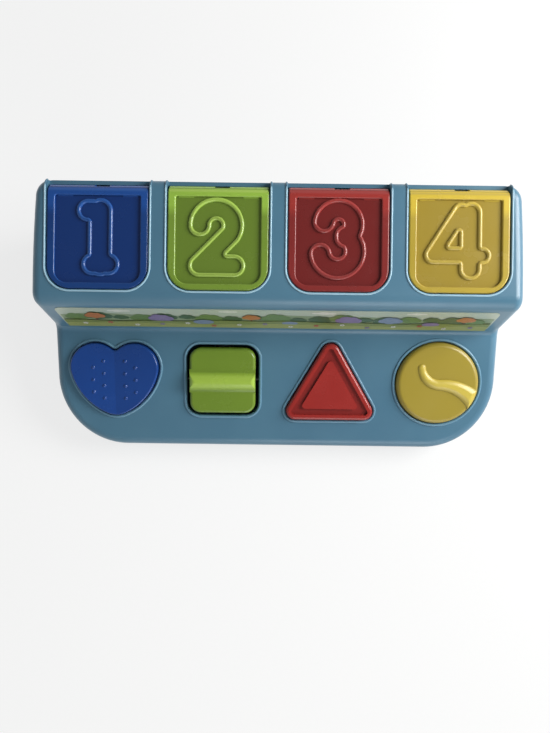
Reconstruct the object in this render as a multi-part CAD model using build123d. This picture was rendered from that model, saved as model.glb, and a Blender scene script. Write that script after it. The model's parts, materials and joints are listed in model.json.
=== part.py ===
from build123d import *
import os
from math import atan2, ceil, cos, pi, radians, sin, sqrt, tan

# Pop-up toy: four sprung lids in a raised back deck, and four controls in a sloping front deck.
# Millimetres. X runs across, Y to the back, Z up. The toy lies on its feet, and the origin is
# under the middle of its outline.

# Body form, read along the side profile from front to back
body_width = 290.0
body_depth = 156.0
front_edge_height = 22.0
lower_deck_run = 75.0
lower_deck_slope = 16.0
riser_run = 8.0
riser_rise = 41.0
upper_deck_slope = 6.0
wall = 2.4
edge_radius = 6.0
riser_top_radius = 9.0
riser_foot_radius = 5.0
front_corner_radius = 45.0
back_corner_radius = 10.0
side_bow = 2.0
bow_length = 60.0

# How far an edge's middle may lie from a line and still be taken as on it
on_line = 0.001

# Stations: one lid and one control each
station_count = 4
end_margin = 4.0
station_pitch = (body_width - 2 * end_margin) / station_count
lower_deck_length = lower_deck_run / cos(radians(lower_deck_slope))
control_share = 0.564
control_row = lower_deck_length * control_share

# Lids and their openings
lid_bridge = 10.5
lid_opening = station_pitch - lid_bridge
lid_front_margin = 7.5
lid_corner_radius = 14.0
lid_gap = 0.4
lid_thickness = 3.2
lid_edge_radius = 1.0
lid_side_border = 4.6
lid_front_border = 3.7
recess_depth = 1.6
recess_corner_radius = 7.0
recess_back_corner_radius = 1.0
recess_edge_radius = 0.7
recess_back_margin = 0.8
lid_bead_radius = 0.6
lid_bead_wrap = 70.0
bead_set_back = 0.2
lid_rest_gap = 0.3
back_notch_depth = 6.2

# Lid hinges
roll_radius = 6.4
roll_wall = 2.4
roll_gap = 0.35
roll_wrap = 125.0
spring_slot_width = 9.0
spring_slot_drop = 2.0
knuckle_width = 9.0
knuckle_margin = 11.0
pin_radius = 1.5
running_clearance = 0.06
pin_engagement = 3.4
lug_gap = 0.4
lug_half_depth = 4.5
lug_drop = 4.4

# Numeral beads on the lids
bead_radius = 1.35
numeral_join_radius = 1.45
stem_width = 12.2
stroke_width = 11.0
thin_stroke_width = 8.2
numeral_foot = 15.0
numeral_shoulder = 46.4
numeral_lid_width = 59.2
numeral_lid_depth = 56.0

# Controls
control_gap = 0.6
collar_radius = 0.9
cap_top = 3.6
cap_wall = 2.0
cap_roof = 3.0
cap_edge_radius = 2.0
flange_width = 2.2
flange_thickness = 1.6
flange_gap = 0.3
plunger_radius = 3.0
contact_gap = 0.25

heart_bridge = 13.5
heart_width = station_pitch - heart_bridge
heart_height = 47.8
heart_lobe_radius = 0.2772 * heart_width
heart_tip_radius = 0.2281 * heart_width
heart_side_radius = 0.7018 * heart_width
heart_notch_radius = 4.0
heart_valley = 2.0
dimple_radius = 1.4
dimple_columns = ((7.0, (12.4, 4.2, -4.0, -12.2)), (13.8, (8.3, 0.1, -8.1)))

square_bridge = 27.5
square_side = station_pitch - square_bridge
square_corner_radius = 7.0
square_gap = 2.2
bar_radius = 6.5
bar_height = 3.4
bar_foot_radius = 4.0
rocker_pin_depth = 8.0
rocker_cheek = 4.0
rocker_cheek_offset = square_side / 2 - 5.5
rocker_lobe_offset = square_side / 2 - 7.5
rocker_lobe_radius = 1.5
rocker_lug_width = 3.0

triangle_bridge = 13.5
triangle_width = station_pitch - triangle_bridge
triangle_corner_radius = 6.0
triangle_rim = 3.6
triangle_moat = 4.1
moat_depth = 1.6
plateau_corner_radius = 2.0

dial_bridge = 16.5
dial_radius = (station_pitch - dial_bridge) / 2
dial_edge_radius = 3.0
ridge_radius = 4.4
ridge_sink = 2.4
ridge_start_radius = 3.6
ridge_end_half_width = 8.4
ridge_edge_radius = 5.0
ridge_start = Vector(-0.41, 0.39) * dial_radius
ridge_middle = Vector(0.055, -0.02) * dial_radius
ridge_end = Vector(1.0, -0.56) * dial_radius
ridge_bend_radius = 0.47 * dial_radius
dial_turn = 60.0
cam_radius = dial_radius - 13.0
cam_inner_radius = dial_radius - 17.0
cam_outer_radius = dial_radius - 8.5
cam_stand = 1.2
cam_drop = 1.4
cam_overrun = 15.0
spigot_radius = 4.0
spigot_length = 10.0
spigot_post_radius = 6.0

# Latches
latch_room = 5.6
arm_top_depth = 11.5
arm_thickness = 3.0
arm_tip_radius = 4.5
pivot_past_riser = 1.98
pivot_back = lower_deck_length - control_row + pivot_past_riser
pivot_barrel_radius = 3.4
pivot_barrel_length = 12.0
pivot_lug_thickness = 3.0
pivot_lug_radius = 4.2
pivot_lug_gap = 0.3
latch_width = 8.0
latch_thickness = 2.4
nose_height = 4.2
nose_engagement = 1.2
nose_gap = 0.2
nose_clearance = 0.25
catch_drop = 10.0
catch_width = 10.0
catch_thickness = 2.5
lip_depth = 1.4
lip_height = 2.0

# Inner tray with the wells
tray_wall = 1.6
well_inset = 2.0
well_width = lid_opening - 2 * well_inset
well_floor_height = 30.0
tray_flange_half_width = body_width / 2 - 7.0
tray_back_gap = 0.6
hinge_zone = 11.0
hinge_zone_depth = 14.0
catch_slot_gap = 1.5
catch_slot_drop = 7.0

# Base plate, feet and screws
foot_height = 2.0
foot_radius = 7.5
foot_edge = 0.5
front_foot_place = (body_width / 2 - 29.0, 22.0 - body_depth / 2)
back_foot_place = (body_width / 2 - 19.0, body_depth / 2 - 16.0)
base_thickness = 2.4
base_gap = 0.3
boss_radius = 4.0
screw_radius = 1.5
screw_length = 11.0
screw_head_radius = 3.0
screw_head_height = 1.2
screw_hole_gap = 0.4
front_screw_place = (station_pitch + 3.5, 18.0 - body_depth / 2)
side_screw_place = (body_width / 2 - 11.0, lower_deck_run + 6.0 - body_depth / 2)
back_screw_place = (station_pitch, body_depth / 2 - 16.0)
tray_post_radius = 3.5

# Springs
latch_wire_radius = 0.4
latch_coil_radius = 3.4
latch_spring_turns = 6
latch_spring_height = 15.6
spring_post_radius = 2.4
spring_post_height = 6.0
spring_seat_radius = 4.6
spring_row = 16.0
lid_wire_radius = 0.35
lid_coil_radius = 2.7
lid_coil_pitch = 1.3
lid_coil_turns = 3
lid_spring_lid_leg = 6.5
lid_spring_wall_leg = 12.0
seat_gap = 0.05

# Printed strip on the riser
strip_margin = 11.0
strip_width = body_width - 2 * strip_margin
strip_height = 29.0
strip_thickness = 0.3
strip_corner_radius = 4.0
strip_drop = 1.9

# Figures under the lids
# A ball is its middle (across, up, out from the lid) and its radius, drawn for a well of the size given
figure_well_width = 56.0
figure_reach = 49.9
figure_rise = 9.0
torso = ((0.0, 11.0, 7.0), 14.5)
head = ((0.0, 27.0, 10.0), 11.0)
zebra_muzzle = ((0.0, 22.0, 17.0), 7.2)
zebra_nose = ((0.0, 19.0, 20.5), 6.2)
zebra_ear = ((9.6, 36.0, 8.0), 3.2)
zebra_ear_tip = ((10.6, 39.0, 8.0), 2.0)
zebra_mane_radius = 12.0
zebra_mane_width = 4.0
lion_mane_radius = 15.0
lion_mane_depth = 10.0
lion_mane_edge = 4.0
lion_mane_sink = 1.0
lion_cheek = ((2.6, 22.0, 19.0), 4.4)
lion_nose = ((0.0, 25.0, 21.0), 2.2)
lion_ear = ((10.6, 36.0, 10.5), 3.6)
elephant_ear_radius = 9.5
elephant_ear_thickness = 4.0
elephant_ear_edge = 1.8
elephant_ear_place = (15.0, 28.0, 6.0)
trunk_radius = 3.6
trunk_root = (0.0, 26.0, 17.0)
trunk_bend = (0.0, 17.0, 25.0)
trunk_tip = (0.0, 9.0, 25.0)
hippo_muzzle = ((4.5, 21.0, 16.0), 7.6)
hippo_nostril = ((4.0, 27.5, 20.5), 2.2)
hippo_ear = ((8.8, 36.5, 9.0), 3.0)

# Corners of the side profile as (y, z), and the places worked out from them
front_y = -body_depth / 2
back_y = body_depth / 2
base_top = foot_height + base_thickness
lower_angle = radians(lower_deck_slope)
upper_angle = radians(upper_deck_slope)
front_edge = (front_y, front_edge_height)
riser_foot = (front_y + lower_deck_run, front_edge_height + lower_deck_run * tan(lower_angle))
riser_top = (riser_foot[0] + riser_run, riser_foot[1] + riser_rise)
back_edge = (back_y, riser_top[1] + (back_y - riser_top[0]) * tan(upper_angle))
stations = [(i - (station_count - 1) / 2) * station_pitch for i in range(station_count)]
between_stations = [(left + right) / 2 for left, right in zip(stations, stations[1:])]

# The hinge line stands clear of the back wall by the roll of the lid
hinge_y = back_y - wall - roll_gap - roll_radius
hinge_v = (hinge_y - riser_top[0] - roll_radius * sin(upper_angle)) / cos(upper_angle)
hinge_z = riser_top[1] + hinge_v * sin(upper_angle) - roll_radius * cos(upper_angle)
lid_front = lid_front_margin + lid_gap
lid_width = lid_opening - 2 * lid_gap
numeral_scale = min(lid_width / numeral_lid_width, (hinge_v - lid_front_margin) / numeral_lid_depth)

# The latch room lies between the riser and the front wall of the tray
tray_front_y = riser_top[0] + wall + latch_room
well_front_y = tray_front_y + tray_wall
tray_back_y = back_y - wall - tray_back_gap
well_back_y = tray_back_y - tray_wall
lip_tip_y = well_front_y + lid_gap
catch_y = lip_tip_y + lip_depth
figure_scale = min(well_width / figure_well_width, (hinge_y - catch_y - catch_thickness) / figure_reach)
lip_top_z = riser_top[1] - catch_drop
flange_bottom = wall + flange_gap + flange_thickness

# Where a form stands on its place, or hangs under it
standing = (Align.CENTER, Align.CENTER, Align.MIN)
hanging = (Align.CENTER, Align.CENTER, Align.MAX)


def lower_plane(x):
    # Deck surface at a control's middle: local y runs up the slope, local z out of the deck
    y = front_edge[0] + control_row * cos(lower_angle)
    z = front_edge[1] + control_row * sin(lower_angle)
    return Plane((x, y, z), x_dir=(1, 0, 0), z_dir=(0, -sin(lower_angle), cos(lower_angle)))


def upper_plane(x):
    # Deck surface at the top of the riser: local y runs to the hinge, local z out of the deck
    normal = (0, -sin(upper_angle), cos(upper_angle))
    return Plane((x, *riser_top), x_dir=(1, 0, 0), z_dir=normal)


def inset_corners(corners, inset):
    # Parallel inset of a polygon given counter-clockwise
    moved = []
    for i, corner in enumerate(corners):
        here = Vector(*corner)
        into = (here - Vector(*corners[i - 1])).normalized().rotate(Axis.Z, 90)
        out = (Vector(*corners[(i + 1) % len(corners)]) - here).normalized().rotate(Axis.Z, 90)
        moved.append(here + (into + out) * (inset / (1 + into.dot(out))))
    return moved


def side_profile(inset):
    bottom = [(front_y, foot_height), (back_y, foot_height)]
    corners = inset_corners([*bottom, back_edge, riser_top, riser_foot, front_edge], inset)
    radii = [0, 0, 0, riser_top_radius - inset, riser_foot_radius + inset, 0]
    return make_face(FilletPolyline(*corners, radius=radii, close=True))


def plan_outline(inset):
    half = body_width / 2 - inset
    front = front_y + inset
    back = back_y - inset
    corner = front_corner_radius - inset
    bow_start = back_y - bow_length
    back_half = half - side_bow
    edges = [Line((corner - half, front), (half - corner, front))]
    edges.append(Line((-back_half, back), (back_half, back)))
    for side in (-1, 1):
        x = side * half
        edges.append(TangentArc((side * (half - corner), front), (x, front + corner), tangent=(side, 0)))
        edges.append(Line((x, front + corner), (x, bow_start)))
        edges.append(TangentArc((x, bow_start), (side * back_half, back), tangent=(0, 1)))
    outline = make_face(edges)
    return fillet(outline.vertices().group_by(Axis.Y)[-1], back_corner_radius - inset)


def body_form(inset):
    # Side profile and plan outline crossed, with the whole upper rim rounded
    plan = plan_outline(inset)
    form = extrude(Plane.YZ * side_profile(inset), amount=body_width, both=True)
    form &= extrude(plan, amount=2 * body_depth)
    rim = plan.faces()[0].outer_wire()
    floor = foot_height + inset + wall

    def on_rim(edge):
        middle = edge @ 0.5
        upright = abs((edge % 0.5).Z) > 1 - on_line
        in_plan = Vertex(middle.X, middle.Y, 0)
        return not upright and middle.Z > floor and rim.distance_to(in_plan) < on_line

    return fillet(form.edges().filter_by(on_rim), edge_radius - inset)


def lid_outline(clearance):
    # U-shaped outline of a lid opening, from its front edge to past the back wall
    half = lid_opening / 2 - clearance
    front = lid_front_margin + clearance
    corners = [(-half, body_depth), (-half, front), (half, front), (half, body_depth)]
    radii = [0, lid_corner_radius - clearance, lid_corner_radius - clearance, 0]
    return make_face(FilletPolyline(*corners, radius=radii, close=True))


def heart_outline():
    lobe = Vector(heart_width / 2 - heart_lobe_radius, heart_height / 2 - heart_lobe_radius)
    tip = Vector(0, heart_tip_radius - heart_height / 2)
    # Middle of the long side arc, which touches the lobe and the tip from outside
    to_lobe = heart_side_radius - heart_lobe_radius
    to_tip = heart_side_radius - heart_tip_radius
    span = (tip - lobe).length
    along = (to_lobe**2 - to_tip**2 + span**2) / (2 * span)
    direction = (tip - lobe) / span
    across = direction.rotate(Axis.Z, -90)
    side = lobe + direction * along + across * sqrt(to_lobe**2 - along**2)
    lobe_end = side + (lobe - side).normalized() * heart_side_radius
    tip_end = side + (tip - side).normalized() * heart_side_radius
    notch = Vector(0, lobe.Y + sqrt(heart_lobe_radius**2 - lobe.X**2))
    crown = lobe + Vector(0, heart_lobe_radius)
    right = ThreePointArc(notch, crown, lobe_end)
    right += TangentArc(lobe_end, tip_end, tangent=(lobe_end - lobe).rotate(Axis.Z, -90))
    tip_arc = ThreePointArc(tip_end, (0, -heart_height / 2), (-tip_end.X, tip_end.Y))
    outline = make_face(right + tip_arc + mirror(right, Plane.YZ))
    return fillet(outline.vertices().sort_by_distance(notch)[0], heart_notch_radius)


def square_outline():
    return RectangleRounded(square_side, square_side, square_corner_radius)


def triangle_outline(inset=0.0, corner_radius=triangle_corner_radius):
    # Rounded equilateral triangle, the box round the full outline centred on the origin
    core_side = triangle_width - 2 * triangle_corner_radius
    low = -core_side * sqrt(3) / 4
    corners = [(-core_side / 2, low), (core_side / 2, low), (0, -low)]
    corners = inset_corners(corners, inset - triangle_corner_radius + corner_radius)
    return offset(make_face(Polyline(*corners, close=True)), corner_radius)


def dial_outline():
    return Circle(dial_radius)


control_outlines = [heart_outline, square_outline, triangle_outline, dial_outline]
control_gaps = [control_gap, square_gap, control_gap, control_gap]


def bead(path, radius):
    section = Plane(path @ 0, z_dir=path % 0) * Circle(radius)
    return sweep(section, path=path)


def control_collar(outline, gap):
    path = offset(outline, gap + bead_set_back + collar_radius).faces()[0].outer_wire()
    return bead(path, collar_radius)


def lid_collar():
    # Runs round the opening and on over the rounded back edge
    side = lid_opening / 2 + bead_set_back + lid_bead_radius
    front = lid_front_margin - bead_set_back - lid_bead_radius
    turn = radians(90 + upper_deck_slope)
    deck_end = (back_y - riser_top[0]) / cos(upper_angle) - edge_radius * tan(turn / 2)
    corners = [(-side, deck_end), (-side, front), (side, front), (side, deck_end)]
    edges = FilletPolyline(*corners, radius=lid_corner_radius + lid_bead_radius).edges()
    wrap = radians(lid_bead_wrap)
    for x in (-side, side):
        half_way = (x, deck_end + edge_radius * sin(wrap / 2), edge_radius * (cos(wrap / 2) - 1))
        end = (x, deck_end + edge_radius * sin(wrap), edge_radius * (cos(wrap) - 1))
        edges.append(ThreePointArc((x, deck_end), half_way, end))
    return bead(Wire(edges), lid_bead_radius)


def hinge_lugs():
    # Blocks under the deck between the lids and at both ends, which hold the hinge pins
    height = roll_radius + lug_drop - wall / 2
    inner_width = station_pitch - lid_opening - 2 * lug_gap
    end_start = stations[-1] + lid_opening / 2 + lug_gap
    end_width = body_width / 2 - end_start
    spans = [(x, inner_width) for x in between_stations]
    spans += [(side * (end_start + end_width / 2), end_width) for side in (-1, 1)]
    lugs = Part()
    for x, width in spans:
        block = Box(width, 2 * lug_half_depth, height, align=hanging)
        lugs += upper_plane(x) * Pos(0, hinge_v, -wall / 2) * block
    return lugs


def rocker_lugs():
    # Two plates under the deck beside the square hole
    lugs = Part()
    offset_x = square_side / 2 + square_gap + 2 * collar_radius + rocker_lug_width / 2
    height = rocker_pin_depth + pivot_lug_radius - wall / 2
    for side in (-1, 1):
        plate = Box(rocker_lug_width, 2 * pivot_lug_radius, height, align=hanging)
        lugs += Pos(side * offset_x, 0, -wall / 2) * plate
    return lugs


def rocker_pin_length():
    return square_side + 2 * square_gap + 4 * collar_radius + 2 * rocker_lug_width


def rod(radius, length):
    return Rot(0, 90, 0) * Cylinder(radius, length)


def screw_points():
    places = (front_screw_place, side_screw_place, back_screw_place)
    return [(side * x, y) for x, y in places for side in (-1, 1)]


def top_housing():
    core = body_form(wall / 2)
    shell = body_form(0) - body_form(wall)
    shell -= Pos(0, 0, foot_height - wall) * extrude(plan_outline(wall), amount=3 * wall)
    shell += hinge_lugs() & core
    for x, y in screw_points():
        boss = Pos(x, y, base_top) * Cylinder(boss_radius, body_depth, align=standing)
        shell += boss & core
    for x in stations:
        opening = extrude(lid_outline(0), amount=edge_radius + back_notch_depth)
        shell -= upper_plane(x) * Pos(0, 0, -back_notch_depth) * opening
        shell += upper_plane(x) * lid_collar()
    for x, outline, gap in zip(stations, control_outlines, control_gaps):
        hole = extrude(offset(outline(), gap), amount=wall, both=True)
        shell -= lower_plane(x) * Pos(0, 0, -wall / 2) * hole
        shell += lower_plane(x) * control_collar(outline(), gap)
    shell += lower_plane(stations[1]) * rocker_lugs()
    pin_span = 2 * (stations[-1] + lid_opening / 2 + lug_gap + pin_engagement)
    shell -= Pos(0, hinge_y, hinge_z) * rod(pin_radius, pin_span)
    shell -= lower_plane(stations[1]) * Pos(0, 0, -rocker_pin_depth) * rod(pin_radius, rocker_pin_length())
    for x, y in screw_points():
        shell -= Pos(x, y, base_top) * Cylinder(screw_radius, 2 * screw_length)
    return shell


def base_plate():
    plate = Pos(0, 0, foot_height) * extrude(plan_outline(wall + base_gap), amount=base_thickness)
    for x in between_stations:
        post = Cylinder(tray_post_radius, body_depth, align=standing)
        post = Pos(x, (tray_front_y + tray_back_y) / 2, foot_height) * post
        under_flange = upper_plane(0).offset(-wall - tray_wall)
        plate += split(post, bisect_by=under_flange, keep=Keep.BOTTOM)
    for x in stations:
        seat = spring_place(x)
        post_height = base_thickness + spring_post_height
        plate += Pos(seat.X, seat.Y, foot_height) * Cylinder(spring_post_radius, post_height, align=standing)
    plate += dial_post()
    for x, y in screw_points():
        plate -= Pos(x, y, foot_height) * Cylinder(screw_radius + screw_hole_gap, 4 * base_thickness)
        recess = screw_head_radius + screw_hole_gap
        plate -= Pos(x, y, foot_height) * Cylinder(recess, 2 * screw_head_height + seat_gap)
    return plate


def dial_post():
    # Tilted tube that carries the dial's spigot, cut off level with the underside of the base
    tall = front_edge_height + control_row
    tube = Cylinder(spigot_post_radius, tall, align=hanging)
    tube -= Cylinder(spigot_radius + running_clearance, 2 * (spigot_length + contact_gap))
    post = lower_plane(stations[3]) * Pos(0, 0, -flange_bottom - contact_gap) * tube
    return split(post, bisect_by=Plane.XY.offset(foot_height), keep=Keep.TOP)


def base_screws():
    screws = []
    for x, y in screw_points():
        head = Cylinder(screw_head_radius, screw_head_height, align=standing)
        head = fillet(head.edges().group_by(Axis.Z)[0], screw_head_height / 3)
        shank = Cylinder(screw_radius, screw_length, align=standing)
        slot = Box(2 * screw_head_radius, screw_head_height / 2, screw_head_height)
        head -= slot
        screws.append(Pos(x, y, foot_height) * (head + Pos(0, 0, screw_head_height) * shank))
    return Compound(children=screws)


def feet():
    pads = []
    for x, y in (front_foot_place, back_foot_place):
        for side in (-1, 1):
            pad = Cylinder(foot_radius, foot_height, align=standing)
            pads.append(Pos(side * x, y) * fillet(pad.edges().group_by(Axis.Z)[0], foot_edge))
    return Compound(children=pads)


def inner_tray():
    rearward = (Align.CENTER, Align.MIN, Align.MIN)
    tall = body_depth
    outer_depth = tray_back_y - tray_front_y
    inner_depth = well_back_y - well_front_y
    tray = Part()
    for x in stations:
        cup = Box(well_width + 2 * tray_wall, outer_depth, tall, align=rearward)
        tray += Pos(x, tray_front_y, well_floor_height - tray_wall) * cup
    flange_align = (Align.CENTER, Align.MIN, Align.MAX)
    flange = Box(2 * tray_flange_half_width, outer_depth, tray_wall, align=flange_align)
    flange_v = (tray_front_y - riser_top[0]) / cos(upper_angle)
    tray += upper_plane(0) * Pos(0, flange_v, -wall) * flange
    for x in stations:
        well = Box(well_width, inner_depth, tall, align=rearward)
        tray -= Pos(x, well_front_y, well_floor_height) * well
        slot = Box(catch_width + 2 * catch_slot_gap, 4 * tray_wall, tall, align=standing)
        tray -= Pos(x, tray_front_y, lip_top_z - catch_slot_drop) * slot
        under_lid = extrude(lid_outline(-lid_gap), amount=tall)
        tray -= upper_plane(x) * Pos(0, 0, -lid_thickness - lid_rest_gap) * under_lid
    above_deck = Box(2 * body_width, 2 * body_depth, tall, align=standing)
    tray -= upper_plane(0) * Pos(0, 0, -wall) * above_deck
    hinge_space = Box(2 * body_width, body_depth, tall, align=rearward)
    tray -= upper_plane(0) * Pos(0, hinge_v - hinge_zone, -hinge_zone_depth) * hinge_space
    for x in stations:
        tray += pivot_lugs(x)
    return tray


def pivot_place(x):
    return lower_plane(x).from_local_coords(Vector(0, pivot_back, -arm_top_depth - arm_thickness / 2))


def pivot_lugs(x):
    # A pair of plates on the front wall of the tray, either side of a latch
    pivot = pivot_place(x)
    reach = tray_front_y - pivot.Y
    side = Pos(pivot.Y, pivot.Z) * Circle(pivot_lug_radius)
    side += Pos(pivot.Y + reach / 2, pivot.Z) * Rectangle(reach, 2 * pivot_lug_radius)
    side -= Pos(pivot.Y, pivot.Z) * Circle(pin_radius)
    inner = pivot_barrel_length / 2 + pivot_lug_gap
    plate = extrude(Plane.YZ * side, amount=pivot_lug_thickness)
    return Pos(x + inner, 0, 0) * plate + Pos(x - inner - pivot_lug_thickness, 0, 0) * plate


def spring_place(x):
    # Foot of a latch spring on the base, under the latch arm
    under_arm = lower_plane(x).from_local_coords(Vector(0, spring_row, -arm_top_depth - arm_thickness))
    return Vector(x, under_arm.Y, base_top)


def latch(x, tip_back):
    # Bell crank: an arm under the control, a barrel on the pivot pin and an upright with the nose
    pivot = pivot_place(x)
    arm_plan = make_hull(
        (Pos(0, tip_back) * Circle(arm_tip_radius)).edges()
        + (Pos(0, pivot_back) * Circle(pivot_barrel_length / 2)).edges()
    )
    arm = lower_plane(x) * Pos(0, 0, -arm_top_depth) * extrude(arm_plan, amount=-arm_thickness)
    behind = (Align.CENTER, Align.MIN, Align.CENTER)
    lug_space = Box(4 * pivot_barrel_length, body_depth, body_depth, align=behind)
    arm -= Pos(x, pivot.Y, pivot.Z) * lug_space
    crank = arm + Pos(*pivot) * rod(pivot_barrel_radius, pivot_barrel_length)
    crank += latch_upright(x)
    seat_height = base_top + latch_spring_height
    seat = Cylinder(spring_seat_radius, arm_top_depth / 2, align=standing)
    seat = Pos(spring_place(x).X, spring_place(x).Y, seat_height) * seat
    under_arm_top = lower_plane(x).offset(-arm_top_depth)
    crank += split(seat, bisect_by=under_arm_top, keep=Keep.BOTTOM)
    return crank - Pos(*pivot) * rod(pin_radius + running_clearance, 2 * pivot_barrel_length)


def latch_upright(x):
    pivot = pivot_place(x)
    back = tray_front_y - lug_gap
    front = back - latch_thickness
    nose_bottom = lip_top_z + nose_clearance
    nose_tip = catch_y - nose_gap
    corners = [
        (pivot.Y - latch_thickness, pivot.Z),
        (pivot.Y + latch_thickness, pivot.Z),
        (back, nose_bottom),
        (nose_tip, nose_bottom),
        (nose_tip, nose_bottom + nose_engagement),
        (back, nose_bottom + nose_height),
        (front, nose_bottom + nose_height),
    ]
    side = make_face(Polyline(*corners, close=True))
    return Pos(x, 0, 0) * extrude(Plane.YZ * side, amount=latch_width / 2, both=True)


def dial_latch(x):
    # The same crank with a rounded follower under the dial's cam
    middle = -flange_bottom - cam_stand - contact_gap - plunger_radius
    length = arm_top_depth + arm_thickness / 2 + middle
    follower = Cylinder(plunger_radius, length, align=hanging)
    follower += Sphere(plunger_radius)
    return latch(x, cam_radius) + lower_plane(x) * Pos(0, cam_radius, middle) * follower


def latch_pin(x):
    length = pivot_barrel_length + 2 * (pivot_lug_gap + pivot_lug_thickness)
    return Pos(*pivot_place(x)) * rod(pin_radius, length)


def hinge_pin(x):
    length = lid_opening + 2 * (lug_gap + pin_engagement)
    return Pos(x, hinge_y, hinge_z) * rod(pin_radius, length)


def lid_catch(x):
    # Hooked tab under the front of the lid
    top = riser_top[1] - lid_thickness / 2
    corners = [
        (catch_y, top),
        (catch_y, lip_top_z),
        (lip_tip_y, lip_top_z),
        (lip_tip_y, lip_top_z - lip_height / 2),
        (catch_y, lip_top_z - lip_height),
        (catch_y + catch_thickness, lip_top_z - lip_height),
        (catch_y + catch_thickness, top),
    ]
    side = make_face(Polyline(*corners, close=True))
    return Pos(x, 0, 0) * extrude(Plane.YZ * side, amount=catch_width / 2, both=True)


def lid_roll():
    # Rolled back edge of the lid, concentric with its hinge
    start = radians(90)
    end = radians(90 - roll_wrap)
    inner = roll_radius - roll_wall
    middle = (start + end) / 2

    def at(radius, angle):
        return (hinge_v + radius * cos(angle), radius * sin(angle) - roll_radius)

    section = make_face(
        [
            ThreePointArc(at(roll_radius, start), at(roll_radius, middle), at(roll_radius, end)),
            Line(at(roll_radius, end), at(inner, end)),
            ThreePointArc(at(inner, end), at(inner, middle), at(inner, start)),
            Line(at(inner, start), at(roll_radius, start)),
        ]
    )
    return extrude(Plane.YZ * section, amount=lid_width / 2, both=True)


def lid(x, numeral):
    half = lid_width / 2
    outline = lid_outline(lid_gap) & Rectangle(2 * lid_opening, hinge_v, align=(Align.CENTER, Align.MIN))
    panel = extrude(outline, amount=-lid_thickness) + lid_roll()

    def on_top(edge):
        middle = edge @ 0.5
        return abs(middle.Z) < on_line and middle.Y < hinge_v - lid_edge_radius

    panel = fillet(panel.edges().filter_by(on_top), lid_edge_radius)
    recess_half = half - lid_side_border
    recess_front = lid_front + lid_front_border
    recess_back = hinge_v - recess_back_margin
    left_corners = [(-recess_half, recess_back), (-recess_half, recess_front)]
    right_corners = [(recess_half, recess_front), (recess_half, recess_back)]
    corners = left_corners + right_corners
    front_radii = [recess_corner_radius, recess_corner_radius]
    radii = [recess_back_corner_radius, *front_radii, recess_back_corner_radius]
    recess = make_face(FilletPolyline(*corners, radius=radii, close=True))
    panel -= extrude(recess, amount=-recess_depth)
    rim = recess.faces()[0].outer_wire()

    def on_rim(edge):
        return rim.distance_to(Vertex(*(edge @ 0.5))) < on_line

    panel = fillet(panel.edges().filter_by(on_rim), recess_edge_radius)
    for side in (-1, 1):
        knuckle = rod(roll_radius - roll_wall / 2, knuckle_width)
        panel += Pos(side * (lid_opening / 2 - knuckle_margin), hinge_v, -roll_radius) * knuckle
    panel -= Pos(0, hinge_v, -roll_radius) * rod(pin_radius + running_clearance, 2 * lid_opening)
    # Slot in the roll, so that it passes the spring's leg as the lid opens
    slot = Box(spring_slot_width, roll_radius, 2 * roll_radius, align=(Align.CENTER, Align.MIN, Align.MAX))
    spring_middle = lid_coil_pitch * lid_coil_turns / 2
    panel -= Pos(spring_middle, hinge_v + roll_radius / 4, -spring_slot_drop) * slot
    panel += Pos(0, lid_front_margin, -recess_depth) * scale(numeral_bead(numeral), by=numeral_scale)
    return upper_plane(x) * panel + lid_catch(x)


def numeral_strokes(numeral):
    # Middle lines of a numeral's fat round-ended strokes, measured from the front of the lid opening
    if numeral == 1:
        stem = Line((1.4, numeral_foot), (1.4, numeral_shoulder))
        flag = Line((1.4, numeral_shoulder), (-5.8, numeral_shoulder))
        foot = Line((-2.9, numeral_foot), (6.3, numeral_foot))
        return [(stem, stem_width), (flag, stroke_width), (foot, stroke_width)]
    if numeral == 2:
        bow = CenterArc((-1.2, 38.6), 9.6, 180, -215)
        neck = Line(bow @ 1, (-10.9, numeral_foot))
        foot = Line((-10.9, numeral_foot), (9.4, numeral_foot))
        return [(bow, stroke_width), (neck, stroke_width), (foot, stroke_width)]
    if numeral == 3:
        upper = CenterArc((-0.2, 40.0), 8.6, 170, -230)
        lower = CenterArc((-0.7, 24.3), 10.2, 62, -232)
        return [(upper, stroke_width), (lower, stroke_width)]
    stem = Line((6.7, numeral_foot), (6.7, 47.7))
    slant = Line((-15.2, 22.8), (1.0, 48.5))
    bar = Line((-15.2, 22.8), (13.6, 22.8))
    return [(stem, stroke_width), (slant, thin_stroke_width), (bar, thin_stroke_width)]


def numeral_bead(numeral):
    shape = Sketch()
    for line, width in numeral_strokes(numeral):
        shape += SlotArc(line, width)
    rounded = offset(offset(shape, numeral_join_radius), -numeral_join_radius)
    beads = Part()
    for edge_loop in rounded.faces()[0].wires():
        beads += bead(edge_loop, bead_radius)
    return beads


def hollow(outline):
    depth = flange_bottom + cap_top - cap_roof
    return Pos(0, 0, -flange_bottom) * extrude(offset(outline, -cap_wall), amount=depth)


def flange(outline):
    return Pos(0, 0, -flange_bottom) * extrude(offset(outline, flange_width), amount=flange_thickness)


def plunger():
    # Round-ended post from the cap down to the latch arm
    middle = plunger_radius + contact_gap - arm_top_depth
    post = Cylinder(plunger_radius, cap_top - cap_roof / 2 - middle, align=standing)
    return Pos(0, 0, middle) * (post + Sphere(plunger_radius))


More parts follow.
